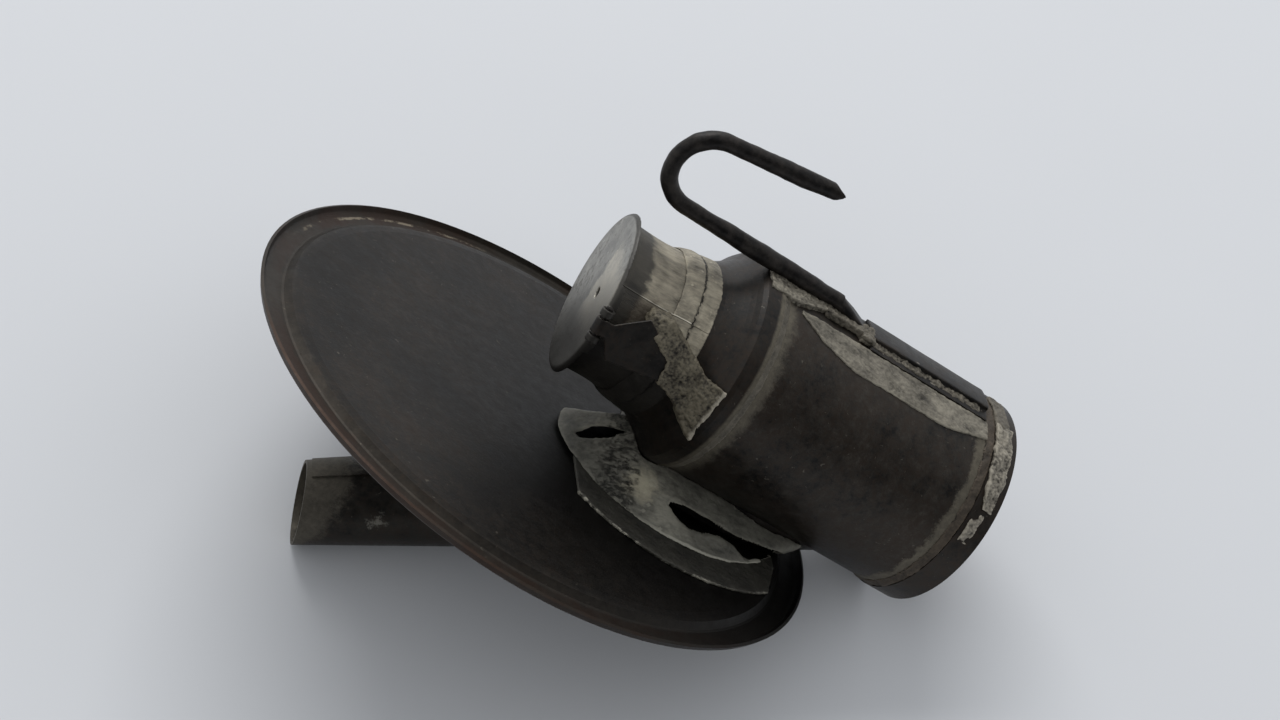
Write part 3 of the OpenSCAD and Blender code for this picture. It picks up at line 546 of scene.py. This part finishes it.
def saddle_marks_and_painted_light(tree, lamp, colour, height):
    """Pits and a pale streak under the folded top, a darker lower part, painted shade next to the disc, and the rubbed
    bend by the flange with a painted highlight.
    """
    wander = add(tree, "ShaderNodeTexNoise", {"Vector": lamp, "Scale": 1 / 1.8, "Detail": 5, "Roughness": 0.7})
    z = add(tree, "ShaderNodeSeparateXYZ", {"Vector": lamp}, take=2)
    lower = add(tree, "ShaderNodeMapRange", {"Value": z, "From Min": 46, "From Max": 40, "To Max": 0.5})
    colour = blend(tree, lower, colour, linear("#3e3d37"))
    streak = add(tree, "ShaderNodeVectorMath", {0: lamp, 1: (18.5, 13.4, 50.6)}, take=1, operation="DISTANCE")
    streak = between(tree, streak, -9, 2.6, 1.6, wander, 9)
    streak = add(tree, "ShaderNodeMath", {0: streak, 1: wander}, operation="MULTIPLY")
    colour = blend(tree, streak, colour, linear("#d0c7ab"))
    pits = add(tree, "ShaderNodeMapping", {"Vector": lamp, "Scale": (1, 1, 0.45)})
    pits = add(tree, "ShaderNodeTexNoise", {"Vector": pits, "Scale": 1 / 0.8, "Detail": 6, "Roughness": 0.8})
    pits = add(tree, "ShaderNodeValToRGB", {"Fac": pits}, stops=[(0.48, 0.0), (0.6, 1.0)])
    burnt = between(tree, z, 51.5, 57, 1.2, wander, 6)
    burnt = add(tree, "ShaderNodeMath", {0: burnt, 1: pits}, operation="MULTIPLY")
    height = add(tree, "ShaderNodeMath", {0: burnt, 1: -1.2, 2: height}, operation="MULTIPLY_ADD")
    colour = blend(tree, burnt, colour, linear("#33302a"))
    depth = add(tree, "ShaderNodeVectorMath", {0: lamp, 1: (0.9989, 0, -0.0471)}, take=1, operation="DOT_PRODUCT")
    # Painted highlight along the lower part of the bend, over its rubbed edge.
    bend = between(tree, depth, 18.55, 20, 0.06, wander, 0.25)
    below = add(tree, "ShaderNodeMapRange", {"Value": z, "From Min": 51, "From Max": 44, "To Max": 0.85})
    bend = add(tree, "ShaderNodeMath", {0: bend, 1: below}, operation="MULTIPLY")
    # Painted shade on the upper part of the saddle next to the disc.
    dull = between(tree, depth, 16.6, 22, 0.9, wander, 2)
    above = add(tree, "ShaderNodeMapRange", {"Value": z, "From Min": 47, "From Max": 54, "To Max": 0.5})
    dull = add(tree, "ShaderNodeMath", {0: dull, 1: above}, operation="MULTIPLY")
    colour = blend(tree, dull, colour, linear("#2c2c28"))
    return blend(tree, bend, colour, linear("#a3a093")), height


def flange_edge(tree, lamp, colour, height):
    """The bright torn edge of the flange."""
    flat = add(tree, "ShaderNodeMapping", {"Vector": lamp, "Scale": (0, 1, 1)})
    wander = add(tree, "ShaderNodeTexNoise", {"Vector": lamp, "Scale": 1 / 1.2, "Detail": 5, "Roughness": 0.75})
    out = add(tree, "ShaderNodeVectorMath", {0: flat, 1: (0, 0, 41.5)}, take=1, operation="DISTANCE")
    broken = add(tree, "ShaderNodeTexNoise", {"Vector": lamp, "Scale": 1 / 4, "Detail": 3})
    broken = add(tree, "ShaderNodeMapRange", {"Value": broken, "From Min": 0.4, "From Max": 0.6})
    torn = between(tree, out, 27.1, 30, 0.12, wander, 2.6)
    torn = add(tree, "ShaderNodeMath", {0: torn, 1: broken}, operation="MULTIPLY")
    return blend(tree, torn, colour, linear("#a6a294")), height


def iron_wire(name, dark, rub):
    """Drawn iron wire, black with oxide, rubbed brown and grey where it has hung."""
    material, tree, lamp = new_material(name)
    blotch = add(tree, "ShaderNodeTexNoise", {"Vector": lamp, "Scale": 1 / 2.2, "Detail": 6, "Roughness": 0.7})
    share = add(tree, "ShaderNodeValToRGB", {"Fac": blotch}, stops=[(0.4, 0.0), (0.7, 1.0)])
    colour = blend(tree, share, dark, rub)
    rough = add(tree, "ShaderNodeMapRange", {"Value": blotch, "To Min": 0.35, "To Max": 0.6})
    close_material(tree, colour, rough, blotch, 0.6, 0.08 * MM)
    return material


def cotton_yarn(name, pale, shade):
    """Soft spun cotton: matt, with fibres too fine to show drawn as ridges 0.4 mm wide."""
    material, tree, lamp = new_material(name)
    fibres = add(tree, "ShaderNodeTexNoise", {"Vector": lamp, "Scale": 1 / 0.4, "Detail": 4, "Roughness": 0.8,
                                              "Distortion": 1.5})
    share = add(tree, "ShaderNodeValToRGB", {"Fac": fibres}, stops=[(0.35, 0.0), (0.7, 1.0)])
    colour = blend(tree, share, shade, pale)
    close_material(tree, colour, 0.95, fibres, 0.0, 0.15 * MM)
    return material


# ---- the lamp's pieces


class CAPLAMP_OT_font(bpy.types.Operator):
    """Finish the font, its foot, shoulder and neck in worn tin with smears of solder"""

    bl_idname = "cap_lamp.font"
    bl_label = "Font and neck"

    def execute(self, context):
        finish = context.scene.lamp_finish
        soot, tin, rust = tuple(finish.soot), tuple(finish.tin), tuple(finish.rust)
        smear = linear("#6c6659")
        dress("font_wall", tin_sheet("sooty tinned font wall", soot, tin, rust, 0.5,
                                     [(4.0, 7.6, 0.5, 5), (45.6, 50.5, 1.0, 4)], smear))
        dress("font_bottom", tin_sheet("sooty pressed foot", soot, linear("#35312c"), rust, 0.5))
        dress("shoulder", tin_sheet("sooty spun shoulder", soot, linear("#312d28"), rust, 0.4,
                                    [(47.6, 48.9, 0.3, 0.6)], smear))
        dress("neck_collar", old_solder("solder wiped neck", linear("#a39b89"), linear("#2a2620"), 5,
                                        shade=neck_marks_and_painted_light))
        return {"FINISHED"}


class CAPLAMP_OT_strap(bpy.types.Operator):
    """Model the lid's strap and the hook's sleeve, with the edges that wear has rounded"""

    bl_idname = "cap_lamp.strap"
    bl_label = "Strap and sleeve"

    def execute(self, context):
        finish = context.scene.lamp_finish
        soot, rust = tuple(finish.soot), tuple(finish.rust)
        strap = lumpy(solid_copy("hinge_strap"), 0.14, 8, 0.05 * MM, 3, 8)
        fit(strap, "worn_strap", "lamp",
            tin_sheet("sooty hinge strap", linear("#12100e"), linear("#302d29"), rust, 0.3,
                      worn_edges=True), ["hinge_strap"])
        sleeve = lumpy(solid_copy("hook_sleeve"), 0.14, 4, 0.1 * MM, 4, 9)
        fit(sleeve, "worn_sleeve", "lamp",
            tin_sheet("sooty hook sleeve", soot, linear("#2f2b27"), rust, 0.3, worn_edges=True),
            ["hook_sleeve"])
        return {"FINISHED"}


class CAPLAMP_OT_lid(bpy.types.Operator):
    """Model the lid with its rim worn low, in rubbed tin"""

    bl_idname = "cap_lamp.lid"
    bl_label = "Lid"

    def execute(self, context):
        lid = solid_copy("lid")
        up = max(lid.data.polygons, key=lambda face: face.area).normal.copy()
        if up.dot(LAMP.to_3x3() @ Vector((0, 0, 1))) < 0:
            up.negate()
        middle = sum(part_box("lid"), Vector()) / 2
        top = max(v.co.dot(up) for v in lid.data.vertices if (v.co - middle).length < 6 * MM)
        to_pin = sum(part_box("hinge_pin"), Vector()) / 2 - middle
        to_pin = (to_pin - up * to_pin.dot(up)).normalized()
        for v in lid.data.vertices:
            depth = top - v.co.dot(up)
            if depth > LID_EDGE and (v.co - middle).dot(to_pin) < 12.0 * MM:
                v.co += up * (depth - LID_EDGE) * 0.9
        skin = tin_sheet("rubbed tin lid", linear("#807f7b"), linear("#b4b2ac"),
                         tuple(context.scene.lamp_finish.rust), 0.1, metallic=0.7, gloss=(0.42, 0.6),
                         shade=lid_painted_light, bright="#e4e2dc")
        fit(lumpy(lid, 0.16, 1, 0.04 * MM, 9, 4), "rubbed_lid", "lid", skin, ["lid"])
        return {"FINISHED"}


class CAPLAMP_OT_reflector(bpy.types.Operator):
    """Finish the reflector in smoked tin, with painted shade towards the saddle, and a rubbed border"""

    bl_idname = "cap_lamp.reflector"
    bl_label = "Reflector"

    def execute(self, context):
        dress("reflector", tin_sheet("smoked tin reflector", linear("#15120f"), linear("#28241f"),
                                     tuple(context.scene.lamp_finish.rust), 0.25, metallic=0.75,
                                     gloss=(0.42, 0.58), shade=smoke_and_shade, bright="#6d675c"))
        return {"FINISHED"}


class CAPLAMP_OT_spout(bpy.types.Operator):
    """Finish the spout and its lapped seam"""

    bl_idname = "cap_lamp.spout"
    bl_label = "Spout"

    def execute(self, context):
        skin = tin_sheet("scorched tin spout", linear("#151310"), linear("#36332d"),
                         tuple(context.scene.lamp_finish.rust), 0.4, [(85, 110, 1.5, 8)], linear("#5d584e"),
                         shade=spout_marks)
        dress("spout_tube", skin)
        dress("spout_seam", skin)
        return {"FINISHED"}


class CAPLAMP_OT_saddle(bpy.types.Operator):
    """Model the crumpled saddle and its flange out of the CAD solids"""

    bl_idname = "cap_lamp.saddle"
    bl_label = "Saddle"

    def execute(self, context):
        crumple = context.scene.lamp_wear.crumple
        pale = old_solder("dull crumpled saddle tin", linear("#8f8c7f"), linear("#2d2c27"), 2.5, 0.15,
                          shade=saddle_marks_and_painted_light)
        # A darker copy of the saddle's tin: painted shade on the flange below the bend.
        dull = old_solder("flange tin in painted shade", linear("#3c3a33"), linear("#191815"), 2, 0.3, shade=flange_edge)
        turn = LAMP.to_3x3()
        skin = solid_copy("saddle")
        trim(skin, turn @ Vector((-0.08, -0.44, 0.9)).normalized(), 1.3)
        trim(skin, turn @ Vector((0.3, -0.2, 0.93)).normalized(), 0.6)
        fit(lumpy(skin, 0.22, 6, crumple, 5, 0, crumple * 0.5), "crumpled_saddle", "lamp", pale,
            ["saddle"])
        far_side = solid_copy("far_flange")
        cut_off(far_side, LAMP @ (Vector((22, -10, 50)) * MM), turn @ Vector((0, -0.35, 1)).normalized())
        flange = join([solid_copy("saddle_flange"), far_side])
        lumpy(flange, 0.18, 4, crumple * 0.6, 4, 2, crumple * 0.5)
        fit(flange, "ragged_flange", "lamp", dull, ["saddle_flange", "far_flange"])
        return {"FINISHED"}


class CAPLAMP_OT_solder(bpy.types.Operator):
    """Model the runs and crusts of solder"""

    bl_idname = "cap_lamp.solder"
    bl_label = "Solder"

    def execute(self, context):
        lump = context.scene.lamp_wear.lump
        turn = LAMP.to_3x3()
        dirt = linear("#2f2b24")
        wiped = old_solder("wiped old solder", tuple(context.scene.lamp_finish.solder), dirt, 4)
        dark = old_solder("sooty solder band", linear("#6b6559"), dirt, 1)
        brown = old_solder("scorched foot solder", linear("#51473b"), linear("#201b16"), 1)
        streaky = old_solder("streaked tongue solder", linear("#6f6857"), linear("#1f1a14"), 7, 0.25, 0.4, 0.64,
                             shade=tongue_marks, way=(0.38, 0.51, -0.77))
        cracked = old_solder("cracked collar solder", linear("#aaa28f"), linear("#2a2620"), 5, shade=neck_marks_and_painted_light)
        crusty = old_solder("crusted old solder", linear("#a29b8c"), linear("#2f2a23"), 1, 0.15, 0.42, 0.7)
        seam = spun_run(17.6, 18.26, 6, 44.5, 146.5, 165, [((146, 32.5), (152, 39.5)), ((152, 39.5), (162, 44.5)),
                                                            ((146, 15), (154, 5.5))])
        tongue = solid_copy("strap_solder")
        trim(tongue, turn @ Vector((-0.6, 0.1, -0.79)).normalized(), 1.8)
        trim(tongue, turn @ Vector((0.68, 0.52, -0.52)).normalized(), 0.5)
        cut_off(tongue, LAMP @ (Vector((2.95, 18.02, 51.34)) * MM), turn @ Vector((-0.022, 0.399, -0.912)).normalized())
        under_wire = spun_run(17.6, 18.9, 37.5, 51, 166, 184, [((166, 45), (177, 37))])
        runs = [
            (lumpy(solid_copy("shoulder_solder"), 0.14, 4, lump * 0.6, 2.0, 1), "shoulder_run", dark,
             ["shoulder_solder"]),
            (lumpy(solid_copy("collar_solder"), 0.15, 18, lump * 0.7, 4, 1, 0, 0.7), "collar_run", cracked,
             ["collar_solder"]),
            (lumpy(tongue, 0.15, 14, lump * 1.5, 2.2, 1, lump * 0.8), "strap_tongue", streaky,
             ["strap_solder"]),
            (lumpy(solid_copy("bottom_solder"), 0.14, 2, lump * 0.7, 1.6, 7), "foot_run", brown, ["bottom_solder"]),
            (lay_down(lumpy(seam, 0.14, 8, lump * 0.8, 3.2, 3, lump * 0.5)), "side_seam_run", wiped,
             ["side_seam_solder"]),
            (lay_down(lumpy(under_wire, 0.14, 8, lump * 1.4, 2.4, 4, lump * 0.7)), "hook_run", wiped,
             ["hook_solder"]),
        ]
        for run, name, material, stands_for in runs:
            fit(run, name, "lamp", material, stands_for)
        crust = join([
            lumpy(spun_run(18.0, 19.0, 1.2, 4.5, 118, 166, [((116, 3.0), (140, 4.6))]), 0.14, 6, lump * 1.8, 2.2, 5,
                  lump * 0.5),
            lumpy(spun_run(17.8, 18.6, 1.9, 3.8, 99, 120), 0.14, 5, lump * 2.6, 2.0, 6, lump * 0.3, 0.6),
        ])
        fit(lay_down(crust), "foot_crust", "lamp", crusty)
        edge = join([
            lumpy(spun_run(18.0, 18.62, 8, 33, 167.2, 172.6), 0.14, 6, lump * 1.7, 2.0, 7, lump),
            lumpy(spun_run(18.0, 19.3, 30.4, 33, 168, 178), 0.14, 6, lump * 1.8, 1.6, 8, lump * 0.8),
            lumpy(spun_run(18.0, 19.2, 33, 40, 171, 178), 0.14, 8, lump * 1.8, 2.0, 10, lump * 0.8),
            lumpy(spun_run(18.0, 18.8, 1.6, 4.6, 165, 190), 0.14, 6, lump, 2.2, 9, lump * 0.5),
        ])
        fit(lay_down(edge), "sleeve_crust", "lamp", dark)
        return {"FINISHED"}


class CAPLAMP_OT_hook(bpy.types.Operator):
    """Model the hand bent hook, and finish it and the lid's pin in iron"""

    bl_idname = "cap_lamp.hook"
    bl_label = "Hook"

    def execute(self, context):
        wire = iron_wire("black iron wire", linear("#161413"), linear("#38332f"))
        bent = solid_copy("hook_wire")
        cut_off(bent, LAMP @ (Vector((-36.07, 0.94, 50.86)) * MM),
                (LAMP.to_3x3() @ Vector((-0.884, -0.194, -0.430))).normalized())
        fit(lumpy(bent, 0.12, 3, 0.5 * MM, 7, 3, 0.12 * MM), "bent_hook", "lamp", wire, ["hook_wire"])
        dress("hinge_pin", wire)
        return {"FINISHED"}


class CAPLAMP_OT_wick(bpy.types.Operator):
    """Model the wick as six yarns laid round a seventh"""

    bl_idname = "cap_lamp.wick"
    bl_label = "Wick"

    def execute(self, context):
        finish = context.scene.lamp_finish
        low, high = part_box("wick")
        feed = Vector(next(j for j in frame["joints"] if j["name"] == "wick_feed")["axis"]).normalized()
        points = [v.co for v in NODES["wick"].data.vertices]
        along = [p.dot(feed) for p in points]
        length = max(along) - min(along)
        middle = sum(points, Vector()) / len(points)
        root = middle + feed * (min(along) - middle.dot(feed))
        across = max((p - middle - feed * (p - middle).dot(feed)).length for p in points)
        yarn_r = across / 3
        yarns = []
        for i in range(7):
            bpy.ops.object.select_all(action="DESELECT")
            out = yarn_r * 2 if i < 6 else 0
            bpy.ops.mesh.primitive_circle_add(vertices=12, radius=yarn_r * 0.98, fill_type="NGON")
            yarn = bpy.context.active_object
            bpy.ops.object.mode_set(mode="EDIT")
            bpy.ops.mesh.select_all(action="SELECT")
            bpy.ops.transform.translate(value=(out, 0, 0))
            for step in range(48):
                bpy.ops.mesh.extrude_region_move(TRANSFORM_OT_translate={"value": (0, 0, length / 48)})
                bpy.ops.transform.rotate(value=-math.radians(22), orient_axis="Z", center_override=(0, 0, 0))
            bpy.ops.object.mode_set(mode="OBJECT")
            yarn.rotation_euler[2] = math.radians(60 * i)
            bpy.ops.object.transform_apply(location=False, rotation=True, scale=False)
            yarns.append(yarn)
        bpy.ops.object.select_all(action="DESELECT")
        for yarn in yarns:
            yarn.select_set(True)
        bpy.context.view_layer.objects.active = yarns[0]
        bpy.ops.object.join()
        wick = yarns[0]
        wick.matrix_world = Matrix.Translation(root) @ feed.to_track_quat("Z", "Y").to_matrix().to_4x4()
        pick(wick)
        bpy.ops.object.transform_apply(location=True, rotation=True, scale=True)
        bpy.ops.object.mode_set(mode="EDIT")
        bpy.ops.mesh.select_all(action="SELECT")
        bpy.ops.mesh.normals_make_consistent(inside=False)
        bpy.ops.object.mode_set(mode="OBJECT")
        cotton = cotton_yarn("spun cotton wick", tuple(finish.cotton), linear("#6b5c44"))
        fit(wick, "cotton_wick", "wick", cotton, ["wick"])
        return {"FINISHED"}


class CAPLAMP_OT_stage(bpy.types.Operator):
    """Set the table, the light and the camera"""

    bl_idname = "cap_lamp.stage"
    bl_label = "Table, light and camera"

    def execute(self, context):
        stage = context.scene.lamp_stage
        bpy.ops.object.select_all(action="DESELECT")
        bpy.ops.mesh.primitive_plane_add(size=6)
        table = context.active_object
        table.name = "table"
        top, tree, lamp = new_material("matt pale table top")
        cloud = add(tree, "ShaderNodeTexNoise", {"Vector": lamp, "Scale": 1 / 90, "Detail": 2})
        colour = blend(tree, cloud, tuple(stage.table), tuple(v * 0.96 for v in stage.table))
        close_material(tree, colour, 0.8, cloud, 0.0, 0.1 * MM)
        table.data.materials.append(top)

        world = bpy.data.worlds.new("pale room")
        context.scene.world = world
        world.use_nodes = True
        tree = world.node_tree
        tree.nodes.clear()
        camera_ray = add(tree, "ShaderNodeLightPath")
        glossy_ray = camera_ray.node.outputs["Is Glossy Ray"]
        through_ray = camera_ray.node.outputs["Is Transmission Ray"]
        seen = add(tree, "ShaderNodeMath", {0: camera_ray, 1: glossy_ray}, operation="MAXIMUM")
        seen = add(tree, "ShaderNodeMath", {0: seen, 1: through_ray}, operation="MAXIMUM")
        strength = add(tree, "ShaderNodeMix", {0: seen, 2: stage.room, 3: 1.0})
        sky = add(tree, "ShaderNodeBackground", {"Color": (*linear("#d7d9dc"), 1), "Strength": strength})
        add(tree, "ShaderNodeOutputWorld", {"Surface": sky})

        bpy.ops.object.select_all(action="DESELECT")
        bpy.ops.mesh.primitive_plane_add(size=1, location=(0.35, -1.15, 0.75))
        flag = context.active_object
        flag.name = "dark_card"
        flag.scale = (2.6, 1.7, 1)
        flag.rotation_euler = Vector((0.35, -1.15, 0.75)).to_track_quat("Z", "Y").to_euler()
        bpy.ops.object.transform_apply(location=True, rotation=True, scale=True)
        flag.visible_camera = False
        flag.visible_diffuse = False
        flag.visible_shadow = False
        black, tree, lamp = new_material("black felt card")
        nap = add(tree, "ShaderNodeTexNoise", {"Vector": lamp, "Scale": 1 / 2})
        felt = blend(tree, nap, linear("#15151a"), linear("#202024"))
        close_material(tree, felt, 1.0, nap, 0.0, 0.2 * MM)
        flag.data.materials.append(black)

        light = bpy.data.lights.new("window", "AREA")
        light.shape = "RECTANGLE"
        light.size, light.size_y = 1.1, 0.8
        light.energy = stage.window
        lamp_light = bpy.data.objects.new("window", light)
        context.scene.collection.objects.link(lamp_light)
        lamp_light.location = (-0.25, 1.0, 1.15)
        lamp_light.rotation_euler = (-lamp_light.location).to_track_quat("-Z", "Y").to_euler()

        lens = bpy.data.cameras.new("camera")
        lens.lens = 72.5
        lens.sensor_width = 36
        lens.clip_start = 0.01
        camera = bpy.data.objects.new("camera", lens)
        context.scene.collection.objects.link(camera)
        back = Vector((-0.0572, -0.6775, 0.7331)).normalized()
        right = Vector((0.9792, 0.1056, 0.174))
        right = (right - back * right.dot(back)).normalized()
        turn = Matrix((right, back.cross(right), back)).transposed().to_4x4()
        camera.matrix_world = Matrix.Translation((-0.02436, -0.2716, 0.33748)) @ turn
        context.scene.camera = camera
        context.scene.view_settings.view_transform = "Standard"
        return {"FINISHED"}


class CAPLAMP_PT_panel(bpy.types.Panel):
    """Lists the lamp's pieces, sizes and colours"""

    bl_idname = "CAPLAMP_PT_panel"
    bl_label = "Cap lamp"
    bl_space_type = "VIEW_3D"
    bl_region_type = "UI"
    bl_category = "Cap lamp"

    def draw(self, context):
        for group in (context.scene.lamp_finish, context.scene.lamp_wear, context.scene.lamp_stage):
            for name in group.__annotations__:
                self.layout.prop(group, name)
        for operator in OPERATORS:
            self.layout.operator(operator.bl_idname)


OPERATORS = (
    CAPLAMP_OT_stage,
    CAPLAMP_OT_font,
    CAPLAMP_OT_strap,
    CAPLAMP_OT_lid,
    CAPLAMP_OT_reflector,
    CAPLAMP_OT_spout,
    CAPLAMP_OT_saddle,
    CAPLAMP_OT_solder,
    CAPLAMP_OT_hook,
    CAPLAMP_OT_wick,
)
CLASSES = (LampFinish, LampWear, LampStage, *OPERATORS, CAPLAMP_PT_panel)


def register():
    for cls in CLASSES:
        bpy.utils.register_class(cls)
    bpy.types.Scene.lamp_finish = bpy.props.PointerProperty(type=LampFinish)
    bpy.types.Scene.lamp_wear = bpy.props.PointerProperty(type=LampWear)
    bpy.types.Scene.lamp_stage = bpy.props.PointerProperty(type=LampStage)


def unregister():
    del bpy.types.Scene.lamp_stage
    del bpy.types.Scene.lamp_wear
    del bpy.types.Scene.lamp_finish
    for cls in reversed(CLASSES):
        bpy.utils.unregister_class(cls)


def main():
    register()
    for operator in OPERATORS:
        group, name = operator.bl_idname.split(".")
        getattr(getattr(bpy.ops, group), name)()


if __name__ == "__main__":
    main()
